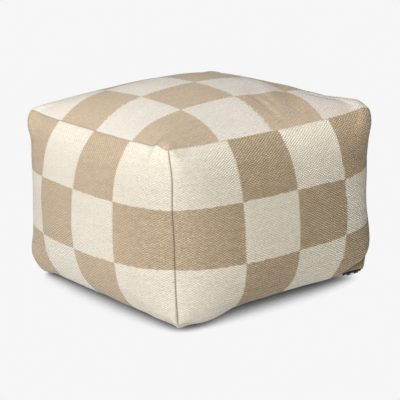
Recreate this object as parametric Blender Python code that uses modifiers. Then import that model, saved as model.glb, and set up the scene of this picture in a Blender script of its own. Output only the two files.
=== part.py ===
"""A cube pouf: one filled cover, sewn from six flat-woven panels, with the end of its base zip.

Metres, +Z up. The origin is on the floor under the middle of the pouf. The front is at -Y.
The zip shows at the right-hand end of the front's base seam.
"""

import math
from collections import namedtuple

import bmesh
import bpy
from mathutils import Matrix, Vector

# ---------------------------------------------------------------------------------------------
# Driving sizes
# ---------------------------------------------------------------------------------------------

PANEL = 0.500                     # width of the square top and base panels, seam to seam
WALL = 0.345                      # height of the four side panels, seam to seam
GAP = 0.0003                      # space between pieces that touch

# Where the filled cover carries its eight corners.
CORNER_REACH = PANEL / 2 - 0.001  # from the middle to a corner, along X and along Y
TOP_CORNER = 0.354                # height of the four top corners
BASE_CORNER = 0.013               # height of the four base corners, just off the floor

# How far the filling pulls the middle of each seam away from the line between its corners.
TOP_SEAM_IN = 0.0075
TOP_SEAM_DOWN = 0.005
BASE_SEAM_IN = 0.0085
LEFT_SEAM_UP = 0.0005             # the base seam, under each wall
RIGHT_SEAM_UP = 0.006
FRONT_SEAM_UP = 0.0085
BACK_SEAM_UP = 0.006
WALL_SEAM_IN = 0.006
SEAM_PULL = 3.5                   # how quickly that pull dies out inside the panel

# How far the filling pushes the middle of each panel out.
CROWN = 0.057                     # top panel, above its corners
BELLY = 0.056                     # side panels, beyond their corners
BELLY_SAG = 0.13                  # share by which a side bellies more below than above

# Softness of a bulge along its seams: near 0 a panel springs up steeply there, at 1 it is low.
TOP_SOFTNESS = 0.35
WALL_SOFTNESS = 0.58
TOP_SPREAD = 0.10                 # how far the cloth shifts from the middle towards the seams
WALL_SPREAD = 0.07

# The filling is uneven, so some corners stand out and others hang back.
CornerShift = namedtuple("CornerShift", "side_x side_y side_z dx dy dz")
CORNER_SHIFTS = (
    CornerShift(1, -1, 1, 0.0030, -0.0020, 0.0070),
    CornerShift(-1, -1, 1, 0.0000, 0.0025, 0.0055),
    CornerShift(-1, 1, 1, 0.0030, -0.0020, -0.0010),
    CornerShift(-1, -1, -1, 0.0060, -0.0025, 0.0035),
    CornerShift(1, -1, -1, -0.0010, 0.0030, 0.0040),
)
SHIFT_REACH = 2.5                 # how quickly a corner's shift dies out

# Single tugs and dents: a place on the cube, how it is moved, and over what distance.
LocalShift = namedtuple("LocalShift", "x y z dx dy dz reach")
LOCAL_SHIFTS = (
    LocalShift(-1, 1, 1, 0.0080, -0.0060, 0.0020, 0.050),
    LocalShift(1, -1, 1, -0.0070, 0.0052, 0.0030, 0.050),
    LocalShift(1, 1, 1, -0.0045, -0.0045, 0.0020, 0.050),
    LocalShift(-1, 1, -1, 0.0125, -0.0095, -0.0100, 0.045),
    LocalShift(1, 1, -1, -0.0050, -0.0050, -0.0020, 0.050),
    LocalShift(-1, 0.92, -0.80, -0.0060, 0.0045, -0.0010, 0.030),
    LocalShift(-1, -1, -1, 0.0000, 0.0000, 0.0040, 0.035),
    LocalShift(1, -1, 0.86, 0.0080, -0.0060, 0.0000, 0.034),
    LocalShift(1, -1, -0.55, 0.0050, -0.0038, 0.0000, 0.050),
    LocalShift(-1, 1, 0.88, -0.0085, 0.0064, 0.0000, 0.030),
    LocalShift(-1, -1, 0.68, 0.0036, -0.0027, 0.0000, 0.042),
    LocalShift(-1, -1, 0.05, 0.0018, -0.0013, 0.0000, 0.070),
    LocalShift(-1, -0.82, 1, -0.0010, 0.0000, 0.0055, 0.015),
    LocalShift(-0.70, -1, -1, 0.0000, -0.0010, -0.0085, 0.060),
)

# The base lies flat on the floor and rolls up to its seams.
FOOT_ROLL = 0.075                 # width of the strip that rolls up
FOOT_ROLL_NEAR = 0.016            # the strip is narrower and steeper under the front left corner
NEAR_CORNER_REACH = 0.040
CORNER_ROUNDING = 0.011           # share by which the eight corners are blunted
ROUNDING_REACH = 9.0              # how close to a corner the blunting starts

CELLS = 24                        # faces along each side of each panel
CELL_EASE = 1.2                   # crowds the faces towards the seams

# Soft folds pressed into the cover, and puffs where the depth is below 0. Start and end run from
# -1 to 1 across a panel: along its first and second axis, which are the two world axes that the
# panel faces neither way of, in X, Y, Z order.
Fold = namedtuple("Fold", "panel start_a start_b end_a end_b half_width depth")
FOLDS = (
    Fold("top", 0.30, -0.94, 0.62, -0.20, 0.034, 0.0040),
    Fold("top", 0.02, -0.90, 0.34, -0.30, 0.030, 0.0030),
    Fold("top", 0.72, 0.10, 0.93, 0.70, 0.026, 0.0045),
    Fold("top", -0.90, -0.96, -0.70, -0.72, 0.016, 0.0040),
    Fold("left", 0.88, -0.84, 0.74, -0.94, 0.016, 0.0030),
    Fold("left", 0.93, 0.62, 0.62, 0.74, 0.026, 0.0040),
    Fold("right", -0.86, 0.45, -0.40, 0.60, 0.026, 0.0040),
    Fold("back", -0.86, 0.52, -0.42, 0.64, 0.026, 0.0040),
    Fold("front", 0.93, 0.42, 0.70, 0.60, 0.022, 0.0035),
    Fold("left", 0.90, 0.88, 0.86, 0.74, 0.032, -0.0050),
    Fold("left", 0.86, -0.50, 0.84, -0.80, 0.045, -0.0050),
    Fold("right", -0.86, 0.82, -0.85, -0.65, 0.045, -0.0070),
    Fold("front", 0.86, 0.80, 0.86, -0.50, 0.050, -0.0040),
    Fold("top", 0.90, -0.90, 0.88, -0.84, 0.030, -0.0080),
    Fold("top", 0.86, -0.62, 0.84, -0.30, 0.030, 0.0035),
    Fold("top", 0.86, 0.86, 0.70, 0.70, 0.045, -0.0050),
    Fold("right", 0.86, 0.82, 0.84, 0.30, 0.045, -0.0050),
    Fold("back", 0.86, 0.80, 0.84, 0.20, 0.045, -0.0050),
)
PANEL_AXES = {"top": (2, 1), "left": (0, -1), "right": (0, 1), "front": (1, -1), "back": (1, 1)}

# The corner over the zip is tucked in behind a crease.
TUCK_RUN = 0.042                  # from the corner to the crease, along the base seams
TUCK_RISE = 0.034                 # from the corner to the crease, up the wall seam
TUCK_DEPTH = 0.0045               # how far the corner itself goes in, along X and along Y

# Zip, from the corner end. Its own frame: x away from the corner, z out of the cover.
CHAIN_START = 0.238               # world x of the chain's corner end
CHAIN_LENGTH = 0.062
CHAIN_LEAN = math.radians(37)     # how far the zip faces down from level
SEAT_DEPTH = 0.0018               # the flat seat for the zip, below the seam's ridge
TAPE_WIDTH = 0.012
TAPE_THICKNESS = 0.0009
TEETH_WIDTH = 0.0042
TEETH_CORE = 0.0008               # height of the rib that the teeth stand on
TOOTH_HEIGHT = 0.0007
TOOTH_PITCH = 0.0022
STOP_LENGTH = 0.003               # along the chain
SLIDER_AT = 0.0125                # middle of the slider, from the chain's corner end
SLIDER_LENGTH = 0.0105
SLIDER_WIDTH = 0.0080
SLIDER_PLATE = 0.0011
BRIDGE_LENGTH = 0.0064
BRIDGE_WIDTH = 0.0022
BRIDGE_LEG = 0.0012
PULL_LENGTH = 0.0270
PULL_WIDTH = 0.0070
PULL_THICKNESS = 0.0010
PULL_RIM = 0.0013                 # width of the pull's metal around its window
PULL_WINDOW = 0.0170              # length of the pull's window


# ---------------------------------------------------------------------------------------------
# Shape of the filled cover
# ---------------------------------------------------------------------------------------------

def fall(value):
    """1 in the middle of a panel or seam, 0 at its ends."""
    return max(0.0, 1.0 - value * value)


def bulge(first, second, softness):
    """Height of a filled panel: 1 in its middle, 0 at its seams, and full right into its corners."""
    a, b = fall(first), fall(second)
    rim = softness * (a * a + b * b) / 2
    return (math.sqrt(a * b + rim) - math.sqrt(rim)) / (math.sqrt(1 + softness) - math.sqrt(softness))


def spread_out(place):
    """Shift a place inside a panel towards its seams, as the bulging cloth does."""
    axis = max(range(3), key=lambda index: abs(place[index]))
    share = TOP_SPREAD if axis == 2 else WALL_SPREAD
    others = [index for index in range(3) if index != axis]
    room = fall(place[others[0]]) * fall(place[others[1]])
    result = list(place)
    for index in others:
        result[index] *= 1 + share * room
    return result


def corner_shift(x, y, z):
    """What the uneven filling adds at a place."""
    total = Vector((0, 0, 0))
    for shift in CORNER_SHIFTS:
        near = (1 + shift.side_x * x) * (1 + shift.side_y * y) * (1 + shift.side_z * z) / 8
        total += near ** SHIFT_REACH * Vector((shift.dx, shift.dy, shift.dz))
    return total


def local_shift(x, y, z):
    """What single tugs and dents add at a place."""
    total = Vector((0, 0, 0))
    for shift in LOCAL_SHIFTS:
        away = Vector(((x - shift.x) * PANEL / 2, (y - shift.y) * PANEL / 2, (z - shift.z) * WALL / 2))
        weight = math.exp(-away.length_squared / shift.reach ** 2)
        total += weight * Vector((shift.dx, shift.dy, shift.dz))
    return total


def seam_line(x, y, z):
    """The point without its panel's bulge: the cube drawn in along its seams."""
    rise = (z + 1) / 2
    near_top = abs(z) ** SEAM_PULL if z > 0 else 0.0
    near_base = abs(z) ** SEAM_PULL if z < 0 else 0.0
    drawn_in = TOP_SEAM_IN * near_top + BASE_SEAM_IN * near_base
    across_x = fall(y) * drawn_in + fall(z) * abs(y) ** SEAM_PULL * WALL_SEAM_IN
    across_y = fall(x) * drawn_in + fall(z) * abs(x) ** SEAM_PULL * WALL_SEAM_IN
    edge_x = fall(y) * abs(x) ** SEAM_PULL
    edge_y = fall(x) * abs(y) ** SEAM_PULL
    lift = edge_x * (LEFT_SEAM_UP if x < 0 else RIGHT_SEAM_UP)
    lift += edge_y * (FRONT_SEAM_UP if y < 0 else BACK_SEAM_UP)
    height = BASE_CORNER + (TOP_CORNER - BASE_CORNER) * rise
    height += lift * near_base - (edge_x + edge_y) * TOP_SEAM_DOWN * near_top
    return Vector((x * (CORNER_REACH - across_x), y * (CORNER_REACH - across_y), height))


def foot_lift(x, y):
    """0 where the base lies on the floor, 1 at its seams."""
    gap_x = max((1 - abs(x)) * CORNER_REACH, 1e-6)
    gap_y = max((1 - abs(y)) * CORNER_REACH, 1e-6)
    from_seam = (gap_x ** -3 + gap_y ** -3) ** (-1 / 3)
    to_corner = math.hypot(1 + x, 1 + y) * CORNER_REACH / NEAR_CORNER_REACH
    roll = FOOT_ROLL + (FOOT_ROLL_NEAR - FOOT_ROLL) * math.exp(-to_corner * to_corner)
    return max(0.0, 1 - from_seam / roll) ** 1.4


def tuck_in(x, y, z, point):
    """Draw the zip's corner in behind a crease."""
    along = (1 - x) * CORNER_REACH + (1 + y) * CORNER_REACH
    reach = along / TUCK_RUN + (z + 1) / 2 * WALL / TUCK_RISE
    share = max(0.0, 1 - reach) ** 0.45
    return point + Vector((-TUCK_DEPTH, TUCK_DEPTH, 0)) * share


def sewn_point(x, y, z):
    """Place on the pouf of a point on the surface of a cube that runs from -1 to 1."""
    x, y, z = spread_out((x, y, z))
    point = seam_line(x, y, z)
    belly = BELLY * (1 - BELLY_SAG * z)
    if abs(x) == 1:
        point.x += x * belly * bulge(y, z, WALL_SOFTNESS)
    if abs(y) == 1:
        point.y += y * belly * bulge(x, z, WALL_SOFTNESS)
    if z == 1:
        point.z += CROWN * bulge(x, y, TOP_SOFTNESS)
    corner = (abs(x) * abs(y) * abs(z)) ** ROUNDING_REACH
    middle = Vector((0, 0, (TOP_CORNER + BASE_CORNER) / 2))
    point = point.lerp(middle, corner * CORNER_ROUNDING)
    point = tuck_in(x, y, z, point) + corner_shift(x, y, z) + local_shift(x, y, z)
    if z == -1:
        point.z *= foot_lift(x, y)
    return point


def fold_depth(fold, place):
    """How far one fold presses the cover in, or out, at a place on its own panel."""
    axis, side = PANEL_AXES[fold.panel]
    if place[axis] != side:
        return 0.0
    half_sizes = [PANEL / 2, PANEL / 2, WALL / 2]
    others = [index for index in range(3) if index != axis]
    scale = Vector([half_sizes[index] for index in others])
    here = Vector([place[index] for index in others]) * scale
    start = Vector((fold.start_a, fold.start_b)) * scale
    run = Vector((fold.end_a, fold.end_b)) * scale - start
    share = min(1.0, max(0.0, (here - start).dot(run) / run.length_squared))
    away = (here - start - run * share).length / fold.half_width
    tapered = 0.35 + 0.65 * math.sin(math.pi * share)
    at_seam = min(1.0, 6 * (1 - max(abs(place[index]) for index in others)) + 0.25)
    return fold.depth * math.exp(-2 * away * away) * tapered * at_seam


def eased(value):
    """Crowd evenly spaced values towards -1 and 1."""
    if abs(value) > 0.9999:
        return math.copysign(1.0, value)
    return math.sin(CELL_EASE * value) / math.sin(CELL_EASE)


def cover_point(corner):
    """Final place of one vertex of the subdivided cube."""
    place = [eased(value) for value in corner]
    point = sewn_point(*place)
    for fold in FOLDS:
        axis, side = PANEL_AXES[fold.panel]
        point[axis] -= side * fold_depth(fold, place)
    return point


# ---------------------------------------------------------------------------------------------
# Helpers
# ---------------------------------------------------------------------------------------------

def new_collection(name):
    collection = bpy.data.collections.new(name)
    bpy.context.scene.collection.children.link(collection)
    return collection


def new_material(name, colour, roughness, metallic=0.0):
    material = bpy.data.materials.new(name)
    material.use_nodes = True
    shader = material.node_tree.nodes["Principled BSDF"]
    shader.inputs["Base Color"].default_value = (*colour, 1)
    shader.inputs["Roughness"].default_value = roughness
    shader.inputs["Metallic"].default_value = metallic
    return material


def new_object(name, data, collection, material=None, parent=None):
    result = bpy.data.objects.new(name, data)
    collection.objects.link(result)
    result.parent = parent
    if material:
        data.materials.append(material)
    return result


def box_mesh(name, low, high):
    """A box between two corners."""
    low, high = Vector(low), Vector(high)
    size = Matrix.Diagonal((*(high - low), 1))
    shape = bmesh.new()
    bmesh.ops.create_cube(shape, size=1.0, matrix=Matrix.Translation((low + high) / 2) @ size)
    mesh = bpy.data.meshes.new(name)
    shape.to_mesh(mesh)
    shape.free()
    return mesh


def flat_outline(name, outlines, thickness):
    """A plate with the given closed outlines, the first one outside and the others holes in it."""
    curve = bpy.data.curves.new(name, "CURVE")
    curve.dimensions = "2D"
    curve.fill_mode = "BOTH"
    curve.extrude = thickness / 2
    for outline in outlines:
        spline = curve.splines.new("POLY")
        spline.points.add(len(outline) - 1)
        for point, (x, y) in zip(spline.points, outline):
            point.co = (x, y, 0, 1)
        spline.use_cyclic_u = True
    return curve


def as_mesh(holder, collection, material, parent, turn):
    """Turn a curve object into a welded mesh object of the same name, turned in its own frame."""
    name = holder.name
    evaluated = holder.evaluated_get(bpy.context.evaluated_depsgraph_get())
    mesh = bpy.data.meshes.new_from_object(evaluated)
    bpy.data.objects.remove(holder)
    shape = bmesh.new()
    shape.from_mesh(mesh)
    bmesh.ops.remove_doubles(shape, verts=shape.verts, dist=0.00001)
    bmesh.ops.transform(shape, matrix=turn, verts=shape.verts)
    shape.to_mesh(mesh)
    shape.free()
    mesh.materials.clear()
    return new_object(name, mesh, collection, material, parent)


def rounded_rectangle(x_low, x_high, width, radius, steps=4):
    """Outline of a rectangle from x_low to x_high, centred on y = 0, with round corners."""
    centres = ((x_high - radius, width / 2 - radius), (x_low + radius, width / 2 - radius),
               (x_low + radius, radius - width / 2), (x_high - radius, radius - width / 2))
    points = []
    for quarter, (centre_x, centre_y) in enumerate(centres):
        for step in range(steps + 1):
            angle = math.pi / 2 * (quarter + step / steps)
            points.append((centre_x + radius * math.cos(angle), centre_y + radius * math.sin(angle)))
    return points


def join_or_cut(target, tool, operation):
    modifier = target.modifiers.new(operation.lower(), "BOOLEAN")
    modifier.operation = operation
    modifier.object = tool
    modifier.solver = "EXACT"


def keep_as_tool(tool):
    tool.hide_render = True
    tool.display_type = "WIRE"


# ---------------------------------------------------------------------------------------------
# Pieces
# ---------------------------------------------------------------------------------------------

def build_body(collection, material):
    """The filled cover: a subdivided cube, each vertex moved to its place on the pouf."""
    shape = bmesh.new()
    bmesh.ops.create_cube(shape, size=2.0)
    bmesh.ops.subdivide_edges(shape, edges=shape.edges[:], cuts=CELLS - 1, use_grid_fill=True)
    for vertex in shape.verts:
        vertex.co = cover_point(vertex.co)
    mesh = bpy.data.meshes.new("pouf_body")
    shape.to_mesh(mesh)
    shape.free()
    mesh.shade_smooth()
    mesh.set_sharp_from_angle(angle=math.radians(40))
    return new_object("pouf_body", mesh, collection, material)


def zip_frame(collection):
    """An empty on the zip's seat: x along the seam away from the corner, z out of the cover."""
    start = sewn_point(CHAIN_START / CORNER_REACH, -1, -1)
    end = sewn_point((CHAIN_START - CHAIN_LENGTH) / CORNER_REACH, -1, -1)
    along = (end - start).normalized()
    out = Vector((0, -math.cos(CHAIN_LEAN), -math.sin(CHAIN_LEAN)))
    out = (out - along * out.dot(along)).normalized()
    across = out.cross(along)
    seat = start - out * SEAT_DEPTH
    frame = bpy.data.objects.new("zip_frame", None)
    collection.objects.link(frame)
    turn = Matrix((along, across, out)).transposed().to_4x4()
    frame.matrix_world = Matrix.Translation(seat) @ turn
    return frame


def cut_seat(body, frame, cutters):
    """Cut the flat seat that the tape lies on."""
    room = 0.02
    low = (-GAP, -TAPE_WIDTH / 2 - GAP, -GAP)
    high = (CHAIN_LENGTH + GAP, TAPE_WIDTH / 2 + GAP, room)
    cutter = new_object("seat_cutter", box_mesh("seat_cutter", low, high), cutters, None, frame)
    keep_as_tool(cutter)
    join_or_cut(body, cutter, "DIFFERENCE")


def teeth_outline():
    """Side view of the rib and its teeth, from the stop to the far end of the chain."""
    start = STOP_LENGTH + 2 * GAP
    count = int((CHAIN_LENGTH - start) / TOOTH_PITCH)
    core = TAPE_THICKNESS + TEETH_CORE
    top = core + TOOTH_HEIGHT
    points = [(start, TAPE_THICKNESS / 2)]
    for index in range(count):
        left = start + index * TOOTH_PITCH
        points += [(left, core), (left + TOOTH_PITCH * 0.2, top),
                   (left + TOOTH_PITCH * 0.7, top), (left + TOOTH_PITCH * 0.9, core)]
    points += [(start + count * TOOTH_PITCH, core), (start + count * TOOTH_PITCH, TAPE_THICKNESS / 2)]
    return points


def build_chain(collection, cutters, material, frame):
    """Tape and closed teeth as one piece."""
    tape = box_mesh("zip_chain", (0, -TAPE_WIDTH / 2, 0), (CHAIN_LENGTH, TAPE_WIDTH / 2, TAPE_THICKNESS))
    chain = new_object("zip_chain", tape, collection, material, frame)
    outline = flat_outline("teeth", [teeth_outline()], TEETH_WIDTH)
    upright = Matrix.Rotation(math.pi / 2, 4, "X")
    teeth = new_object("teeth", outline, cutters, None, frame)
    teeth = as_mesh(teeth, cutters, None, frame, upright)
    keep_as_tool(teeth)
    join_or_cut(chain, teeth, "UNION")


def build_stop(collection, material, frame):
    """The crimped end stop, at the corner."""
    height = TEETH_CORE + TOOTH_HEIGHT + 0.0006
    low = (GAP, -TEETH_WIDTH * 0.6, TAPE_THICKNESS + GAP)
    high = (GAP + STOP_LENGTH, TEETH_WIDTH * 0.6, TAPE_THICKNESS + GAP + height)
    stop = new_object("zip_stop", box_mesh("zip_stop", low, high), collection, material, frame)
    bevel = stop.modifiers.new("rounded", "BEVEL")
    bevel.width = 0.0006
    bevel.segments = 2


def build_slider(collection, cutters, material, frame):
    """A channel over the teeth, with a bridge on its back for the pull."""
    roof = TAPE_THICKNESS + TEETH_CORE + TOOTH_HEIGHT + GAP
    foot = TAPE_THICKNESS + GAP
    start, end = SLIDER_AT - SLIDER_LENGTH / 2, SLIDER_AT + SLIDER_LENGTH / 2
    inside = TEETH_WIDTH / 2 + GAP
    block = box_mesh("zip_slider", (start, -SLIDER_WIDTH / 2, foot),
                     (end, SLIDER_WIDTH / 2, roof + SLIDER_PLATE))
    slider = new_object("zip_slider", block, collection, material, frame)
    bevel = slider.modifiers.new("rounded", "BEVEL")
    bevel.width = 0.0007
    bevel.segments = 2
    overrun = 0.002
    channel = box_mesh("slider_channel", (start - overrun, -inside, 0), (end + overrun, inside, roof))
    channel = new_object("slider_channel", channel, cutters, None, frame)
    keep_as_tool(channel)
    join_or_cut(slider, channel, "DIFFERENCE")
    window = PULL_THICKNESS + 2 * GAP
    top = roof + SLIDER_PLATE
    half = BRIDGE_LENGTH / 2
    outline = [(-half, -SLIDER_PLATE / 2), (-half, window + BRIDGE_LEG * 0.4),
               (-half + BRIDGE_LEG * 0.7, window + BRIDGE_LEG), (half - BRIDGE_LEG * 0.7, window + BRIDGE_LEG),
               (half, window + BRIDGE_LEG * 0.4), (half, -SLIDER_PLATE / 2),
               (half - BRIDGE_LEG, -SLIDER_PLATE / 2), (half - BRIDGE_LEG, window),
               (-half + BRIDGE_LEG, window), (-half + BRIDGE_LEG, -SLIDER_PLATE / 2)]
    place = Matrix.Translation((SLIDER_AT, 0, top)) @ Matrix.Rotation(math.pi / 2, 4, "X")
    bridge = new_object("bridge", flat_outline("bridge", [outline], BRIDGE_WIDTH), cutters, None, frame)
    bridge = as_mesh(bridge, cutters, None, frame, place)
    keep_as_tool(bridge)
    join_or_cut(slider, bridge, "UNION")
    return top


def build_pull(collection, material, frame, slider_top):
    """The open pull tab. Its end bar lies under the bridge and its window stands round the leg."""
    head = SLIDER_AT + BRIDGE_LENGTH / 2 - BRIDGE_LEG - GAP - PULL_RIM
    outside = rounded_rectangle(head, head + PULL_LENGTH, PULL_WIDTH, 0.0024)
    window = rounded_rectangle(head + PULL_RIM, head + PULL_RIM + PULL_WINDOW,
                               PULL_WIDTH - 2 * PULL_RIM, 0.0012)
    curve = flat_outline("zip_pull", [outside, window], PULL_THICKNESS)
    place = Matrix.Translation((0, 0, slider_top + GAP + PULL_THICKNESS / 2))
    pull = new_object("zip_pull", curve, collection, None, frame)
    as_mesh(pull, collection, material, frame, place)


# ---------------------------------------------------------------------------------------------
# Build
# ---------------------------------------------------------------------------------------------

def main():
    for old in list(bpy.data.objects):
        bpy.data.objects.remove(old)
    parts = new_collection("cube_pouf")
    cutters = new_collection("cutters")
    wool = new_material("wool", (0.62, 0.54, 0.43), 0.95)
    tape = new_material("zip_tape", (0.03, 0.028, 0.025), 0.8)
    metal = new_material("zip_metal", (0.09, 0.08, 0.07), 0.4, 0.8)
    body = build_body(parts, wool)
    frame = zip_frame(parts)
    bpy.context.view_layer.update()
    cut_seat(body, frame, cutters)
    build_chain(parts, cutters, tape, frame)
    build_stop(parts, metal, frame)
    slider_top = build_slider(parts, cutters, metal, frame)
    build_pull(parts, metal, frame, slider_top)


main()
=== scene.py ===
# %% [markdown]
# # A cube pouf with a checked, flat-woven wool cover
#
# A cube pouf is a cloth box, sewn from a square top, four walls and a square base, and stuffed
# until its flat panels belly out between their seams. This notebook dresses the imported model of
# one: it builds the cover, fills it, weaves its checks, sews on the end of its zip, and sets it in
# a pale studio. Everything is in metres, with +Z up and the front at -Y.

import math

import bpy
import numpy as np
from mathutils import Matrix, Vector, noise


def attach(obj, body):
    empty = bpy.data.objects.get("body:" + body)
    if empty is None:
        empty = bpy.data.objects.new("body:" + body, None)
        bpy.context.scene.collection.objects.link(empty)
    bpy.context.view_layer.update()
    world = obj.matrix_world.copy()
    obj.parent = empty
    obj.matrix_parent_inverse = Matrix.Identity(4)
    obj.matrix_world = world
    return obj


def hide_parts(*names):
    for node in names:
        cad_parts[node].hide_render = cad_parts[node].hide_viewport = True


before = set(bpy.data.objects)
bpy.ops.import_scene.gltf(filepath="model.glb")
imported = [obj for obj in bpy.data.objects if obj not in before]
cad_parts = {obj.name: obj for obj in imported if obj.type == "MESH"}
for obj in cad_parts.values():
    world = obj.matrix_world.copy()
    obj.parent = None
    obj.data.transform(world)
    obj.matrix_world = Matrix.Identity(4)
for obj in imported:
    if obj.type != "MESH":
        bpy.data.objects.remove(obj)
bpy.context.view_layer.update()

# %% [markdown]
# ## Camera
#
# The camera is the first thing to settle, because every later choice is judged through it. It
# stands about three metres off with a long lens, level with a seated person's eyes, and looks at
# the corner between the front and the left wall. A long lens keeps the far edges almost as long as
# the near ones. The camera is rolled by under two degrees, as a hand-held one is.

# %% Camera
TARGET = Vector((0, 0, 0.2))
AZIMUTH = math.radians(-36.814)
ELEVATION = math.radians(15.506)
ROLL = math.radians(-1.679)
DISTANCE = 3.078
IMAGE_SIZE = 400
FOCAL_PIXELS = 1499.4
IMAGE_CENTRE = (197.22, 182.91)
SENSOR_WIDTH = 36.0               # in millimetres


def make_camera():
    back = Vector((math.sin(AZIMUTH) * math.cos(ELEVATION),
                   -math.cos(AZIMUTH) * math.cos(ELEVATION), math.sin(ELEVATION)))
    level = Vector((math.cos(AZIMUTH), math.sin(AZIMUTH), 0))
    upright = back.cross(level)
    right = level * math.cos(ROLL) + upright * math.sin(ROLL)
    up = upright * math.cos(ROLL) - level * math.sin(ROLL)
    lens = bpy.data.cameras.new("camera")
    lens.sensor_width = SENSOR_WIDTH
    lens.lens = FOCAL_PIXELS / IMAGE_SIZE * SENSOR_WIDTH
    lens.shift_x = (IMAGE_SIZE / 2 - IMAGE_CENTRE[0]) / IMAGE_SIZE
    lens.shift_y = (IMAGE_CENTRE[1] - IMAGE_SIZE / 2) / IMAGE_SIZE
    camera = bpy.data.objects.new("camera", lens)
    bpy.context.scene.collection.objects.link(camera)
    turn = Matrix((right, up, back)).transposed().to_4x4()
    camera.matrix_world = Matrix.Translation(TARGET + back * DISTANCE) @ turn
    bpy.context.scene.camera = camera
    return camera


camera = make_camera()
print("Lens:", round(camera.data.lens, 1), "mm")

# %% [markdown]
# ## The cover's shape
#
# Cloth that can't stretch takes the same few forms however it is stuffed. Its seams stay almost
# as long as they were cut, and its panels rise steeply from them and flatten out in the middle.
# The corners, where three seams meet, stand out as small ears. One could sculpt that by hand or
# leave it all to a simulation. Here a formula carries each point of a cube to its place on the
# pouf, because a formula can be fitted to the real one. A simulation then only settles the cloth.

# %% Sizes of the cover
PANEL = 0.500                     # width of the square top and base panels, seam to seam
WALL = 0.345                      # height of the four side panels, seam to seam
HALF_SIZES = np.array((PANEL / 2, PANEL / 2, WALL / 2))
CORNER_REACH = PANEL / 2 - 0.001  # from the middle to a corner, along X and along Y
TOP_CORNER = 0.354                # height of the top's corners over the floor
BASE_CORNER = 0.013               # and of the base's corners
TOP_SEAM_IN = 0.0075              # how far the middle of a seam is drawn in
TOP_SEAM_DOWN = 0.005             # and how far it sinks
BASE_SEAM_IN = 0.0085
BASE_SEAM_UP = (0.0005, 0.006, 0.0085, 0.006)   # under the left, right, front and back wall
WALL_SEAM_IN = 0.006
SEAM_PULL = 3.5                   # the higher, the closer to its seam a panel is drawn in
CROWN = 0.057                     # how far the middle of the top is pushed out
BELLY = 0.056                     # and the middle of a wall
BELLY_SAG = 0.13                  # share by which a wall bulges more near the floor
TOP_SOFTNESS = 0.35               # how low a panel starts from its seams
WALL_SOFTNESS = 0.58
TOP_SPREAD = 0.10                 # share by which the cloth in its middle is spread out
WALL_SPREAD = 0.07
CORNER_SHIFTS = (                 # which corner, and how the uneven filling moves it
    ((1, -1, 1), (0.0030, -0.0020, 0.0070)),
    ((-1, -1, 1), (0.0000, 0.0025, 0.0055)),
    ((-1, 1, 1), (0.0030, -0.0020, -0.0010)),
    ((-1, -1, -1), (0.0060, -0.0025, 0.0035)),
    ((1, -1, -1), (-0.0010, 0.0030, 0.0040)),
)
SHIFT_REACH = 2.5                 # the higher, the closer to its corner a shift stays
LOCAL_SHIFTS = (                  # a place on the cube, how it is moved, and over what distance
    ((-1, 1, 1), (0.0080, -0.0060, 0.0020), 0.050),
    ((1, -1, 1), (-0.0070, 0.0052, 0.0030), 0.050),
    ((1, 1, 1), (-0.0060, -0.0060, -0.0080), 0.060),
    ((-1, 1, -1), (0.0125, -0.0095, -0.0100), 0.045),
    ((1, 1, -1), (-0.0050, -0.0050, -0.0020), 0.050),
    ((-1, 0.92, -0.80), (-0.0060, 0.0045, -0.0010), 0.030),
    ((-1, -1, -1), (0.0000, 0.0000, 0.0040), 0.035),
    ((1, -1, 0.86), (0.0080, -0.0060, 0.0000), 0.034),
    ((1, -1, -0.55), (0.0050, -0.0038, 0.0000), 0.050),
    ((-1, 1, 0.88), (-0.0085, 0.0064, 0.0000), 0.030),
    ((-1, -1, 0.68), (0.0036, -0.0027, 0.0000), 0.042),
    ((-1, -1, 0.05), (0.0018, -0.0013, 0.0000), 0.070),
    ((-1, -0.86, 1), (-0.0010, 0.0000, 0.0060), 0.015),
    ((-1, -0.66, 1), (0.0000, 0.0000, 0.0020), 0.030),
    ((-0.70, -1, -1), (0.0000, -0.0010, -0.0085), 0.060),
    ((0.95, -0.90, 1), (0.0000, 0.0000, 0.0050), 0.020),
    ((0.87, -0.70, 1), (0.0000, 0.0000, -0.0020), 0.025),
    ((1, -1, 1), (0.0000, 0.0000, -0.0040), 0.014),
)
FOOT_ROLL = 0.075                 # the base lies flat and rolls up to its seams over this width
FOOT_ROLL_NEAR = 0.016            # but it is much steeper under the front left corner
NEAR_CORNER_REACH = 0.040
FOOT_SQUARENESS = 3               # the higher, the squarer the corners of the flat foot
FOOT_EASE = 1.4                   # how gently the base leaves the floor
CORNER_ROUNDING = 0.011           # share by which the very corners are blunted
ROUNDING_REACH = 9.0              # the higher, the closer to the corner that stays
print("Cut panels:", PANEL, "square, walls", WALL, "high")


# %% From a cube to the pouf
def fall(value):
    """1 in the middle of a panel or seam, 0 at its ends."""
    return np.maximum(0.0, 1.0 - value * value)


def bulge(first, second, softness):
    """Height of a filled panel: 1 in its middle, 0 at its seams, and full into its corners."""
    a, b = fall(first), fall(second)
    rim = softness * (a * a + b * b) / 2
    return (np.sqrt(a * b + rim) - np.sqrt(rim)) / (math.sqrt(1 + softness) - math.sqrt(softness))


def spread_out(place):
    """Shift places inside a panel towards its seams, as the bulging cloth does."""
    own = np.argmax(np.abs(place), axis=1)[:, None] == np.arange(3)
    room = np.prod(np.where(own, 1.0, fall(place)), axis=1)
    share = np.where(own[:, 2], TOP_SPREAD, WALL_SPREAD)
    return place * np.where(own, 1.0, 1 + (share * room)[:, None])


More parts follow.
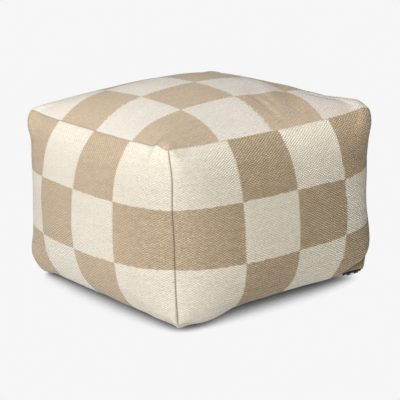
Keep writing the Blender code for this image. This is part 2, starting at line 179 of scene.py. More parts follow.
def seam_line(x, y, z):
    """The cube drawn in along its seams, before its panels bulge."""
    near_top = np.where(z > 0, np.abs(z), 0) ** SEAM_PULL
    near_base = np.where(z < 0, np.abs(z), 0) ** SEAM_PULL
    drawn_in = TOP_SEAM_IN * near_top + BASE_SEAM_IN * near_base
    pull_x, pull_y = np.abs(x) ** SEAM_PULL, np.abs(y) ** SEAM_PULL
    reach_x = CORNER_REACH - fall(y) * drawn_in - fall(z) * pull_y * WALL_SEAM_IN
    reach_y = CORNER_REACH - fall(x) * drawn_in - fall(z) * pull_x * WALL_SEAM_IN
    edge_x, edge_y = fall(y) * pull_x, fall(x) * pull_y
    left, right, front, back = BASE_SEAM_UP
    lift = edge_x * np.where(x < 0, left, right) + edge_y * np.where(y < 0, front, back)
    height = BASE_CORNER + (TOP_CORNER - BASE_CORNER) * (z + 1) / 2
    height = height + lift * near_base - (edge_x + edge_y) * TOP_SEAM_DOWN * near_top
    return np.stack((x * reach_x, y * reach_y, height), axis=1)


def corner_shift(x, y, z):
    """What the uneven filling adds."""
    total = np.zeros((len(x), 3))
    for (side_x, side_y, side_z), move in CORNER_SHIFTS:
        share = (1 + side_x * x) * (1 + side_y * y) * (1 + side_z * z) / 8
        total += share[:, None] ** SHIFT_REACH * np.array(move)
    return total


def local_shift(place):
    """What single tugs and dents add."""
    total = np.zeros(place.shape)
    for centre, move, reach in LOCAL_SHIFTS:
        away = np.linalg.norm((place - np.array(centre)) * HALF_SIZES, axis=1) / reach
        total += np.exp(-away * away)[:, None] * np.array(move)
    return total


def foot_lift(x, y):
    """0 where the base lies on the floor, 1 at its seams."""
    gap_x, gap_y = (1 - np.abs(x)) * CORNER_REACH, (1 - np.abs(y)) * CORNER_REACH
    gap_x, gap_y = np.maximum(gap_x, 1e-6), np.maximum(gap_y, 1e-6)
    from_seam = (gap_x ** -FOOT_SQUARENESS + gap_y ** -FOOT_SQUARENESS) ** (-1 / FOOT_SQUARENESS)
    to_corner = np.hypot((1 + x) * CORNER_REACH, (1 + y) * CORNER_REACH) / NEAR_CORNER_REACH
    roll = FOOT_ROLL + (FOOT_ROLL_NEAR - FOOT_ROLL) * np.exp(-to_corner ** 2)
    return np.maximum(0.0, 1 - from_seam / roll) ** FOOT_EASE


def filled_points(place):
    """Places on the pouf of points on the surface of a cube that runs from -1 to 1."""
    place = spread_out(place)
    x, y, z = place.T
    points = seam_line(x, y, z)
    belly = BELLY * (1 - BELLY_SAG * z)
    points[:, 0] += np.where(np.abs(x) == 1, x * belly * bulge(y, z, WALL_SOFTNESS), 0)
    points[:, 1] += np.where(np.abs(y) == 1, y * belly * bulge(x, z, WALL_SOFTNESS), 0)
    points[:, 2] += np.where(z == 1, CROWN * bulge(x, y, TOP_SOFTNESS), 0)
    blunt = (np.abs(x * y * z) ** ROUNDING_REACH * CORNER_ROUNDING)[:, None]
    middle = np.array((0, 0, (TOP_CORNER + BASE_CORNER) / 2))
    points = points * (1 - blunt) + middle * blunt
    points += corner_shift(x, y, z) + local_shift(place)
    points[:, 2] *= np.where(z == -1, foot_lift(x, y), 1)
    return points


print("Top corner:", filled_points(np.array(((-1.0, -1.0, 1.0),))).round(3))

# %% [markdown]
# ## The cover's mesh
#
# The cover starts as a cube, which has the right seams and corners already. It is subdivided into
# a fine grid and its grid lines are crowded towards the seams, where the cloth bends most. Each
# panel gets its own place in two UV maps before it is bent. "cloth" holds metres on the loom, so
# the weave keeps its size all over, and "checks" counts checks.

# %% Box of cut panels
CELLS = 56                        # faces along each side of a panel, before the last subdivision
CELL_EASE = 1.40                  # crowds the faces towards the seams
ON_FACE = 0.9999                  # from here on a cube place counts as lying on the cube's face


def read_points(mesh, what="co"):
    """The places of a mesh's points, or with "normal" the way that they face."""
    points = np.empty(len(mesh.vertices) * 3)
    mesh.vertices.foreach_get(what, points)
    return points.reshape(-1, 3)


def write_points(mesh, points):
    mesh.vertices.foreach_set("co", np.ascontiguousarray(points, dtype=np.float32).ravel())
    mesh.update()


def eased(value):
    """Crowd evenly spaced values towards -1 and 1."""
    crowded = np.sin(CELL_EASE * value) / math.sin(CELL_EASE)
    return np.where(np.abs(value) > ON_FACE, np.sign(value), crowded)


bpy.ops.mesh.primitive_cube_add(size=2)
cover = bpy.context.object
cover.name = "wool_cover"
bpy.ops.object.mode_set(mode="EDIT")
bpy.ops.mesh.select_all(action="SELECT")
bpy.ops.mesh.subdivide(number_cuts=CELLS - 1)
bpy.ops.object.mode_set(mode="OBJECT")
cube_places = eased(read_points(cover.data))
print("Box of panels:", len(cover.data.polygons), "faces")

# %% Lay the panels out on the loom
CHECKS_ACROSS = 4
ROWS = 3                          # checks up a wall
CHECK = PANEL / CHECKS_ACROSS     # width of a check
BASE_ROW = -20.0                  # the plain base lies this low in the "checks" map
PATTERN_EDGE = 0.06               # share of a check that no tug takes from the outer ones
FRONT_SHIFT = 0.055               # the front's checks sit a little to the right, in half panels
LEFT_SHIFT = 0.016                # and the left wall's a little to the back
PATTERN_TUGS = {                  # place on the panel, how its checks are moved there, and reach
    "front": ((0.60, 0.30, 0.00, -0.045, 0.060), (0.55, -0.10, 0.054, 0.00, 0.080)),
    "left": ((-0.92, -0.38, 0.00, -0.055, 0.055),),
}
# Each panel's name, the axis and side that it faces, the axis that runs to its right as seen from
# outside and the sign of that, the shift of its checks, and its first check in the "checks" map.
LAYOUT = (
    ("top", 2, 1, 0, 1, 0.0, 0),
    ("front", 1, -1, 0, 1, FRONT_SHIFT, 0),
    ("left", 0, -1, 1, -1, -LEFT_SHIFT, 11),
    ("right", 0, 1, 1, 1, 0.0, 21),
    ("back", 1, 1, 0, -1, 0.0, 30),
    ("base", 2, -1, 0, 1, 0.0, 40),
)


def panel_maps(places, name, axis, side, across, sign, shift, first):
    """Loom metres and check numbers of places on one panel."""
    right = sign * places[:, across]
    if axis == 2:
        up = side * places[:, 1]
        check_up = (up + 1) * CHECKS_ACROSS / 2 if side == 1 else up * 2 + BASE_ROW
        metres_up = up * PANEL / 2
    else:
        up = places[:, 2]
        check_up = (up - 1) / 2 * ROWS
        metres_up = up * WALL / 2
    check_right = (right + 1 - shift) * CHECKS_ACROSS / 2
    for tug_right, tug_up, move_right, move_up, reach in PATTERN_TUGS.get(name, ()):
        away = np.hypot((right - tug_right) * PANEL / 2, (up - tug_up) * WALL / 2) / reach
        check_right = check_right - move_right * np.exp(-away * away)
        check_up = check_up - move_up * np.exp(-away * away)
    check_right = np.clip(check_right, PATTERN_EDGE, CHECKS_ACROSS - PATTERN_EDGE)
    if axis != 2:
        check_up = np.clip(check_up, PATTERN_EDGE - ROWS, -PATTERN_EDGE)
    cloth = np.stack((right * PANEL / 2 + first * CHECK, metres_up), axis=1)
    checks = np.stack((check_right + first, check_up), axis=1)
    return cloth, checks


def lay_out(mesh, places):
    corners = np.empty(len(mesh.loops), dtype=int)
    mesh.loops.foreach_get("vertex_index", corners)
    faces = np.repeat(np.arange(len(mesh.polygons)), 4)
    middles = places[corners].reshape(-1, 4, 3).mean(axis=1)
    cloth = np.zeros((len(corners), 2))
    checks = np.zeros((len(corners), 2))
    for name, axis, side, across, sign, shift, first in LAYOUT:
        own = (middles[:, axis] * side > ON_FACE)[faces]
        maps = panel_maps(places[corners[own]], name, axis, side, across, sign, shift, first)
        cloth[own], checks[own] = maps
    mesh.uv_layers.remove(mesh.uv_layers[0])
    for name, values in (("cloth", cloth), ("checks", checks)):
        layer = mesh.uv_layers.new(name=name)
        layer.data.foreach_set("uv", values.astype(np.float32).ravel())


lay_out(cover.data, cube_places)
write_points(cover.data, filled_points(cube_places))
print("Laid out:", len(LAYOUT), "panels")

# %% [markdown]
# ## Filling
#
# The formula gives the form but not the small give and take of real cloth. So the cover is now
# stuffed: a cloth simulation knows the flat panels as its rest shape, starts from the filled form,
# and blows it up a little. The cloth pulls tight where it was stretched and puckers where it has
# too much room, mostly beside the seams and in the corners. Only these fine forms are kept. The
# broad form stays that of the formula, so the pouf keeps its size.

# %% Settle the cloth
SETTLE_FRAMES = 14
SETTLE_LIMIT = 0.0025             # how far the simulation may move a point
SETTLE_REACH = 0.060              # and how far from a seam it still does
SETTLE_HEIGHT = 0.040             # from this height on it does so in full
SMOOTHING_ROUNDS = 54             # the more rounds, the broader the forms that count as fine
CLOTH = {                         # the pressure is in kilopascals
    "quality": 5, "mass": 0.0002, "use_pressure": True, "uniform_pressure_force": 3.0,
    "tension_stiffness": 60, "compression_stiffness": 25, "shear_stiffness": 12,
    "bending_stiffness": 0.08,
}


def above_floor(points, height):
    """0 on the floor and 1 from the given height on, so that the flat foot stays flat."""
    return np.clip(points[:, 2] / height, 0, 1)


def smoothed(mesh, values, rounds):
    """Values of the points, each one averaged again and again with its neighbours."""
    edges = np.empty(len(mesh.edges) * 2, dtype=int)
    mesh.edges.foreach_get("vertices", edges)
    first, second = edges.reshape(-1, 2).T
    count = np.bincount(edges, minlength=len(values))[:, None]
    for _ in range(rounds):
        total = [np.bincount(first, column[second], len(values))
                 + np.bincount(second, column[first], len(values)) for column in values.T]
        values = (values + np.stack(total, axis=1)) / (1 + count)
    return values


def settle(piece, places):
    """Blow the cover up from inside, with its cut panels as rest shape, and keep the fine part."""
    start = read_points(piece.data)
    piece.shape_key_add(name="filled", from_mix=False)
    cut = piece.shape_key_add(name="cut", from_mix=False)
    flat = places * HALF_SIZES + np.array((0, 0, WALL / 2 + BASE_CORNER))
    cut.data.foreach_set("co", flat.astype(np.float32).ravel())
    modifier = piece.modifiers.new("settle", "CLOTH")
    for name, value in CLOTH.items():
        setattr(modifier.settings, name, value)
    modifier.settings.rest_shape_key = cut
    modifier.settings.effector_weights.gravity = 0
    modifier.collision_settings.use_self_collision = False
    modifier.collision_settings.use_collision = False
    modifier.point_cache.frame_end = SETTLE_FRAMES
    for number in range(1, SETTLE_FRAMES + 1):
        bpy.context.scene.frame_set(number)
    graph = bpy.context.evaluated_depsgraph_get()
    settled = read_points(piece.evaluated_get(graph).data)
    piece.modifiers.remove(modifier)
    piece.shape_key_clear()
    bpy.context.scene.frame_set(1)
    move = settled - start
    move -= smoothed(piece.data, move, SMOOTHING_ROUNDS)
    length = np.linalg.norm(move, axis=1)
    share = np.tanh(length / SETTLE_LIMIT) * SETTLE_LIMIT / np.maximum(length, 1e-9)
    gaps = np.sort((1 - np.abs(places)) * HALF_SIZES, axis=1)
    share *= above_floor(start, SETTLE_HEIGHT) * np.exp(-(gaps[:, 1] / SETTLE_REACH) ** 2)
    write_points(piece.data, start + move * share[:, None])
    return length * share


moved = settle(cover, cube_places) * 1000
print("Settled: at most", round(moved.max(), 2), "mm, on average", round(moved.mean(), 2))

# %% [markdown]
# ## Seams and folds
#
# A turned seam is a narrow valley: both panels roll over into it, and the thread draws it in. The
# valley is pressed into the finished mesh along the cloth's own normals. The walls' corner seams
# are deep, and those round the top are shallower. Beside each seam the cloth puckers a little, and
# a few soft folds run where the filling has settled. One more subdivision first gives the mesh
# enough faces for this. Round the zip's end the faces are divided again, because there the corner
# is tucked in behind a sharp crease.

# %% Finer mesh
def select_only(*pieces):
    """Select some pieces alone, with the first one active."""
    bpy.ops.object.select_all(action="DESELECT")
    for piece in pieces:
        piece.select_set(True)
    bpy.context.view_layer.objects.active = pieces[0]


def subdivide_once(piece):
    """Split each face in four, rounding the form but keeping the maps' own lines straight."""
    modifier = piece.modifiers.new("finer", "SUBSURF")
    modifier.levels = 1
    modifier.render_levels = 1
    modifier.uv_smooth = "NONE"
    modifier.use_limit_surface = False
    bpy.ops.object.modifier_apply(modifier=modifier.name)


def write_attribute(mesh, name, values):
    """Give each point of a mesh a value that a later step or a material can read."""
    layer = mesh.attributes.new(name, "FLOAT", "POINT")
    layer.data.foreach_set("value", values.astype(np.float32))


select_only(cover)
bpy.ops.object.shade_smooth()
for axis_name, column in zip("xyz", cube_places.T):
    write_attribute(cover.data, "place_" + axis_name, column)
subdivide_once(cover)


def read_places(mesh):
    """The cube places of a divided mesh's points."""
    places = np.empty((len(mesh.vertices), 3))
    for column, name in enumerate("xyz"):
        values = np.empty(len(mesh.vertices))
        mesh.attributes["place_" + name].data.foreach_get("value", values)
        places[:, column] = values
    return places


fine_places = read_places(cover.data)
print("Finer mesh:", len(cover.data.polygons), "faces")

# %% The zip's corner
TUCK_RUN = 0.098                  # how far along the base the corner is tucked in,
TUCK_RISE = 0.057                 # how far up the walls,
TUCK_DEPTH = 0.0060               # and how deep
TUCK_STEP = 0.0030                # over how wide a strip the cloth drops behind the crease
TUCK_WIDTH = TUCK_RUN * TUCK_RISE / math.hypot(TUCK_RUN, TUCK_RISE)
FINER_REACH = 0.008               # how far past the crease the faces are divided


def crease_gap(places):
    """Distance to the crease over the cloth, in metres. It is below 0 inside the tuck."""
    along = ((1 - places[:, 0]) + (1 + places[:, 1])) * CORNER_REACH
    return (along / TUCK_RUN + (places[:, 2] + 1) / 2 * WALL / TUCK_RISE - 1) * TUCK_WIDTH


def tuck_in(places):
    """How the tuck moves points: half of it just behind the crease, half towards the corner."""
    inside = np.maximum(0, -crease_gap(places))
    share = (1 - np.exp(-(inside / TUCK_STEP) ** 2) + inside / TUCK_WIDTH) / 2
    return share[:, None] * np.array((-TUCK_DEPTH, TUCK_DEPTH, 0))


def divide_near(piece, near):
    """Divide each face between chosen points in nine."""
    select_only(piece)
    bpy.ops.object.mode_set(mode="EDIT")
    bpy.ops.mesh.select_all(action="DESELECT")
    bpy.ops.mesh.select_mode(type="VERT")
    bpy.ops.object.mode_set(mode="OBJECT")
    piece.data.vertices.foreach_set("select", near)
    bpy.ops.object.mode_set(mode="EDIT")
    bpy.ops.mesh.subdivide(number_cuts=2)
    bpy.ops.object.mode_set(mode="OBJECT")


divide_near(cover, crease_gap(fine_places) < FINER_REACH)
fine_places = read_places(cover.data)
write_points(cover.data, read_points(cover.data) + tuck_in(fine_places))
print("With a finer corner:", len(cover.data.polygons), "faces")

# %% Distances to the seams
def seam_distances(places):
    """Distance over the cloth, in metres, to the wall, top and base seams."""
    gap = (1 - np.abs(places)) * HALF_SIZES
    nearer = np.minimum(gap[:, 0], gap[:, 1])
    wall = np.hypot(gap[:, 0], gap[:, 1])
    top = np.hypot((1 - places[:, 2]) * HALF_SIZES[2], nearer)
    base = np.hypot((1 + places[:, 2]) * HALF_SIZES[2], nearer)
    return wall, top, base


wall_gap, top_gap, base_gap = seam_distances(fine_places)
print("Nearest to a seam:", round(float(wall_gap[wall_gap > 1e-6].min()) * 1000, 2), "mm")

# %% Soft folds
FOLDS = (                         # axis and side it faces, its start and end, half width, depth
    (2, 1, 0.30, -0.94, 0.62, -0.20, 0.034, 0.0040),
    (2, 1, 0.02, -0.90, 0.34, -0.30, 0.030, 0.0030),
    (2, 1, 0.72, 0.10, 0.93, 0.70, 0.026, 0.0045),
    (0, -1, 0.88, -0.84, 0.74, -0.94, 0.016, 0.0030),
    (0, -1, 0.93, 0.62, 0.62, 0.74, 0.026, 0.0040),
    (0, 1, -0.86, 0.45, -0.40, 0.60, 0.026, 0.0040),
    (1, 1, -0.86, 0.52, -0.42, 0.64, 0.026, 0.0040),
    (1, -1, 0.93, 0.42, 0.70, 0.60, 0.022, 0.0035),
    (0, -1, 0.90, 0.88, 0.86, 0.74, 0.032, -0.0050),
    (0, -1, 0.86, -0.50, 0.84, -0.80, 0.045, -0.0050),
    (0, 1, -0.86, 0.82, -0.85, -0.65, 0.045, -0.0070),
    (1, -1, 0.86, 0.80, 0.86, -0.50, 0.050, -0.0040),
    (2, 1, 0.90, -0.86, 0.90, -0.66, 0.034, -0.0036),
    (2, 1, 0.86, -0.62, 0.84, -0.30, 0.030, 0.0035),
    (2, 1, 0.86, 0.86, 0.70, 0.70, 0.045, -0.0050),
    (0, 1, 0.86, 0.82, 0.84, 0.30, 0.045, -0.0050),
    (1, 1, 0.86, 0.80, 0.84, 0.20, 0.045, -0.0050),
    (1, -1, -0.96, 0.93, -0.84, 0.89, 0.010, 0.0032),
    (1, -1, -0.94, 0.73, -0.80, 0.69, 0.009, 0.0026),
    (0, -1, -0.96, 0.95, -0.86, 0.91, 0.010, 0.0030),
    (0, -1, -0.96, 0.77, -0.66, 0.71, 0.007, 0.0018),
    (2, 1, 0.16, -0.50, 0.13, -0.97, 0.007, 0.0028),
    (2, 1, 0.20, -0.58, 0.16, -0.92, 0.009, -0.0014),
    (2, 1, 0.26, -0.50, 0.18, -0.86, 0.006, 0.0022),
    (2, 1, 0.80, -0.80, 0.87, -0.97, 0.008, 0.0030),
    (2, 1, 0.62, -0.62, 0.80, -0.84, 0.009, 0.0022),
)
FOLD_ENDS = 0.35                  # share of its depth that a fold has at its ends,
FOLD_AT_SEAM = 0.25               # and that it keeps at a seam
FOLD_EASE = 1 / 6                 # over which part of half a panel it comes back


def fold_depth(places, axis, start, end, half_width, depth):
    """How far one fold presses the cloth in, or out where its depth is below 0."""
    others = [index for index in range(3) if index != axis]
    scale = HALF_SIZES[others]
    here = places[:, others] * scale
    start, run = np.array(start) * scale, (np.array(end) - np.array(start)) * scale
    share = np.clip((here - start) @ run / (run @ run), 0, 1)
    away = np.linalg.norm(here - start - share[:, None] * run, axis=1) / half_width
    tapered = FOLD_ENDS + (1 - FOLD_ENDS) * np.sin(math.pi * share)
    at_seam = np.minimum(1, FOLD_AT_SEAM + (1 - np.abs(places[:, others]).max(axis=1)) / FOLD_EASE)
    return depth * np.exp(-2 * away * away) * tapered * at_seam


points = read_points(cover.data)
for axis, side, start_a, start_b, end_a, end_b, half_width, depth in FOLDS:
    own = fine_places[:, axis] * side > ON_FACE
    start, end = (start_a, start_b), (end_a, end_b)
    points[own, axis] -= side * fold_depth(fine_places[own], axis, start, end, half_width, depth)
write_points(cover.data, points)
print("Folds:", len(FOLDS))

# %% The zip's seat
CHAIN_START = 0.2425              # where the zip's end sits on the front's base seam, along X
CHAIN_LENGTH = 0.062
CHAIN_SHOWN = 0.049               # beyond this it runs inside the seam
CHAIN_LEAN = math.radians(37)     # how far it faces down
SEAT_DEPTH = 0.0018               # how far it is let into the cover
SEAT_CLEARANCE = 0.0006           # how far below the tape the cloth is pressed,
SEAT_MARGIN = 0.0005              # how far round it in full,
SEAT_EASE = 0.003                 # and over which distance no longer
TAPE_WIDTH = 0.012
TAPE_THICKNESS = 0.0009


def zip_seat():
    """Where the zip's end sits: x along the seam away from the corner, z out of the cover."""
    starts = np.array((CHAIN_START, CHAIN_START - CHAIN_LENGTH)) / CORNER_REACH
    places = np.stack((starts, (-1.0, -1.0), (-1.0, -1.0)), axis=1)
    start, end = (Vector(point) for point in filled_points(places) + tuck_in(places))
    along = (end - start).normalized()
    out = Vector((0, -math.cos(CHAIN_LEAN), -math.sin(CHAIN_LEAN)))
    out = (out - along * out.dot(along)).normalized()
    turn = Matrix((along, out.cross(along), out)).transposed().to_4x4()
    return Matrix.Translation(start - out * SEAT_DEPTH) @ turn


def press_seat(points, seat):
    """Press the cloth in under the zip's tape."""
    axes = np.array(seat.to_3x3())
    x, y, z = ((points - np.array(seat.translation)) @ axes).T
    beside = np.maximum.reduce((-x, x - CHAIN_SHOWN, np.abs(y) - TAPE_WIDTH / 2))
    share = np.clip(1 - (beside - SEAT_MARGIN) / SEAT_EASE, 0, 1)
    return points - (np.maximum(0, z + SEAT_CLEARANCE) * share)[:, None] * axes[:, 2]


SEAT = zip_seat()
print("Zip's seat:", [round(value, 4) for value in SEAT.translation])

# %% Pressed-in seams and puckers
WALL_GROOVE = (0.0020, 0.0014)    # depth and half width of a wall's corner seam
TOP_GROOVE = (0.0011, 0.0017)     # and of the others
BASE_GROOVE = (0.0020, 0.0022)
CREASE_GROOVE = (0.0012, 0.0014)
GROOVE_SHARPNESS = 1.5
GROOVE_HEIGHT = 0.010             # from this height on the cloth is pressed in in full
PUCKER_DEPTH = 0.0009
PUCKER_REACH = 0.020              # how far from a seam the cloth puckers
PUCKER_NOISE = (0.030, 3.1)       # distance between bumps, and the part of the noise to use
LUMP_DEPTH = 0.0016               # the filling's own unevenness
LUMP_NOISE = (0.075, 7.7)


def groove(distance, depth, half_width):
    return depth * np.exp(-(distance / half_width) ** GROOVE_SHARPNESS)


def smooth_noise(points, pitch, offset):
    """Smooth noise from -1 to 1, with the given distance between bumps."""
    shift = Vector((offset, offset * 0.7, offset * 1.3))
    return np.array([noise.noise(Vector(point) / pitch + shift) for point in points])


points = read_points(cover.data)
crease = crease_gap(fine_places)
inward = np.maximum.reduce((groove(wall_gap, *WALL_GROOVE), groove(top_gap, *TOP_GROOVE),
                            groove(base_gap, *BASE_GROOVE),
                            groove(np.abs(crease), *CREASE_GROOVE)))
beside_seam = np.exp(-(np.minimum.reduce((wall_gap, top_gap, base_gap)) / PUCKER_REACH) ** 2)
inward += PUCKER_DEPTH * beside_seam * smooth_noise(points, *PUCKER_NOISE)
inward += LUMP_DEPTH * (1 - beside_seam) * smooth_noise(points, *LUMP_NOISE)
inward *= above_floor(points, GROOVE_HEIGHT)
points -= read_points(cover.data, "normal") * inward[:, None]
points = press_seat(points, SEAT)
points[:, 2] = np.maximum(points[:, 2], 0)
write_points(cover.data, points)
print("Deepest seam:", round(float(inward.max()) * 1000, 2), "mm")

# %% [markdown]
# ## Painted shade and wear
#
# Some of the cloth's shade is painted into its colour. The bottom of each seam is painted dark,
# partly for its thread and partly as painted shade, and a painted shadow darkens the cloth tucked
# in behind the fold over the zip. Two spots on the top are painted darker, as painted shade where
# less light falls. On the top and the left wall, which the light strikes most, and evenly on both
# sides of the near corner's seam, painted light and shade draw the two colours together: the cream
# is darker and the beige lighter. Where the cover is rubbed, on its top, its left wall and along
# its edges, the yarn lies flatter. Painting this by hand would take an image. Here it depends on
# the distance to a seam or a corner alone, so each point simply gets three values: "seam" for its
# painted shade, "relief" for how high the weave stands, and a third for how much of its own colours
# it keeps.

# %% Shade
SEAM_LINE = 0.0011                # half width of the dark line in the bottom of a seam: its thread, and painted shade
LINE_SHADE = {"top": 0.15, "left of the top": 0.45, "base": 0.70}
LEFT_LINE = -0.97                 # left of this the top's seam counts as its left one
TUCK_SHADE = 0.15                 # share of painted shadow all over the tuck
CREASE_SHADE = 0.020              # and how far behind the crease the painted shadow is deeper
TOP_SHADE_SPOTS = (                        # spots on the top painted darker, as painted shade where less light falls: where, how far, how much
    ((0.84, -0.84, 1), 0.085, 0.24),
    ((0.42, -0.55, 1), 0.090, 0.16),
)
TOP_SPOT_SPILL = 0.010                # how far the spots' painted shade runs over the top's seam


def near(distance, reach):
    """1 at no distance, and soon nothing past the given reach."""
    return np.exp(-(distance / reach) ** 2)


on_top = fine_places[:, 2] > ON_FACE
top_spot_shade = np.zeros(len(points))
for centre, reach, amount in TOP_SHADE_SPOTS:
    away = np.linalg.norm((fine_places - np.array(centre)) * HALF_SIZES, axis=1)
    top_spot_shade = np.maximum(top_spot_shade, amount * near(away, reach))
on_left = fine_places[:, 0] < LEFT_LINE
top_line = np.where(on_left, LINE_SHADE["left of the top"], LINE_SHADE["top"])
# Painted shadow behind the fold over the zip, deepest just behind the crease.
in_tuck = TUCK_SHADE + (1 - TUCK_SHADE) * near(crease, CREASE_SHADE)
# Painted shade in one value: the seams' dark lines, partly for their thread, the tuck's painted
# shadow and the top's painted spots.
seam_shade = np.maximum.reduce((
    near(wall_gap, SEAM_LINE), top_line * near(top_gap, SEAM_LINE),
    LINE_SHADE["base"] * near(base_gap, SEAM_LINE), np.where(crease < 0, in_tuck, 0),
    top_spot_shade * np.where(on_top, 1, np.exp(-top_gap / TOP_SPOT_SPILL))))
write_attribute(cover.data, "seam", seam_shade)
print("Points in the tuck:", int((crease < 0).sum()))

# %% Painted light and shade on the colours, and wear
# Where the own colours aren't kept, painted light and shade draw the cream and the beige together.
TOP_OWN_COLOUR_AND_RELIEF = 0.15                  # how much of its own colours and relief the cloth keeps on the top,
LEFT_OWN_COLOUR_AND_RELIEF = 0.40                 # on the left wall,
NEAR_OWN_COLOUR_AND_RELIEF = 0.68                 # and on both sides of the near corner's seam
NEAR_REACH = 0.11
TOP_EDGE_WEAR = 0.60              # how much lower the walls' bumps stand along the top's seams,
TOP_EDGE_REACH = 0.055
RIGHT_END_WEAR = 0.20             # and at the front's right end
RIGHT_END_REACH = 0.12

near_gap = (2 + fine_places[:, 0] + fine_places[:, 1]) * CORNER_REACH
right_gap = (2 - fine_places[:, 0] + fine_places[:, 1]) * CORNER_REACH
own_colour_and_relief = np.where(fine_places[:, 0] < -ON_FACE, LEFT_OWN_COLOUR_AND_RELIEF, 1.0)
own_colour_and_relief += (NEAR_OWN_COLOUR_AND_RELIEF - own_colour_and_relief) * near(near_gap, NEAR_REACH)
relief = own_colour_and_relief * (1 - TOP_EDGE_WEAR * near(top_gap, TOP_EDGE_REACH))
relief *= 1 - RIGHT_END_WEAR * near(right_gap, RIGHT_END_REACH)
for name, values in (("own_colour_and_relief", own_colour_and_relief), ("relief", relief)):
    write_attribute(cover.data, name, np.where(on_top, TOP_OWN_COLOUR_AND_RELIEF, values))
print("Mean relief of the weave:", round(float(relief.mean()), 2))

# %% [markdown]
# ## Flat-woven wool
#
# The cover is a flat weave: thick weft yarn packed down over hidden warp threads, so that only the
# weft shows, as rows of short slanting bumps that interlock like bricks. Where cream yarn meets
# beige, the change can only fall between two bumps, so the border of a check is finely toothed. An
# image of the weave would be quick, but nodes keep it sharp at any distance. One node group works
# out in which bump a point lies. It is a group because the yarn's colour, its relief and its fibres
# all need the same answer.

# %% Node helpers
def new_group(name, sockets_in, sockets_out):
    """An empty shader node group with named value or vector sockets."""
    tree = bpy.data.node_groups.new(name, "ShaderNodeTree")
    for direction, sockets in (("INPUT", sockets_in), ("OUTPUT", sockets_out)):
        for socket_name, kind in sockets:
            kind = "NodeSocket" + kind
            tree.interface.new_socket(socket_name, in_out=direction, socket_type=kind)
    return tree, tree.nodes.new("NodeGroupInput"), tree.nodes.new("NodeGroupOutput")


def new_material(name):
    """A material, its nodes and its shader."""
    material = bpy.data.materials.new(name)
    material.use_nodes = True
    return material, material.node_tree, material.node_tree.nodes["Principled BSDF"]


def feed(tree, node, inputs):
    """Set inputs of a node to numbers or colours, or link them to other sockets."""
    for name, value in inputs.items():
        if isinstance(value, bpy.types.NodeSocket):
            tree.links.new(value, node.inputs[name])
        else:
            node.inputs[name].default_value = value


def add_node(tree, kind, inputs, **settings):
    """A new shader node with these settings and inputs."""
    node = tree.nodes.new("ShaderNode" + kind)
    for name, value in settings.items():
        setattr(node, name, value)
    feed(tree, node, inputs)
    return node


def calc(tree, operation, *values, kind="Math"):
    """The result of one Math or VectorMath node."""
    return add_node(tree, kind, dict(enumerate(values)), operation=operation).outputs[0]


def mix(tree, factor, first, second, kind="FLOAT", blend_type="MIX"):
    """The result of one Mix node."""
    inputs = {"Factor": factor, "A": first, "B": second}
    node = add_node(tree, "Mix", inputs, data_type=kind, blend_type=blend_type)
    return node.outputs["Result"]


def mix_colour(tree, factor, first, second, blend_type="MIX"):
    return mix(tree, factor, first, second, "RGBA", blend_type)


def spread_noise(tree, place, stretch, detail=2.0, roughness=0.5):
    """Noise from 0 to 1 on a place that is first stretched."""
    inputs = {"Vector": calc(tree, "MULTIPLY", place, stretch, kind="VectorMath"),
              "Scale": 1.0, "Detail": detail, "Roughness": roughness}
    return add_node(tree, "TexNoise", inputs).outputs["Fac"]


print("Node helpers ready")

# %% Weave group
BUMP_PITCH = 0.0078               # from bump to bump along the yarn
ROW_PITCH = 0.0046                # two rows, as every second one is shifted by half a bump
BUMP_SHARPNESS = 6.5              # how small a bump's dome is
WOBBLE = 0.0006                   # how far hand-spun yarn strays from its row
WOBBLE_SCALE = 140.0


def bump_grid(tree, columns, rows, offset):
    """One of the two grids of bumps: how far off its middle a place is, and the bump's number."""
    column, row = calc(tree, "ADD", columns, offset), calc(tree, "ADD", rows, offset)
    off_u = calc(tree, "SUBTRACT", calc(tree, "FRACT", column), 0.5)
    off_v = calc(tree, "SUBTRACT", calc(tree, "FRACT", row), 0.5)
    far = calc(tree, "MULTIPLY_ADD", off_u, off_u, calc(tree, "MULTIPLY", off_v, off_v))
    number = add_node(tree, "CombineXYZ", {
        "X": calc(tree, "FLOOR", column), "Y": calc(tree, "FLOOR", row), "Z": offset})
    return far, off_u, off_v, number.outputs[0]


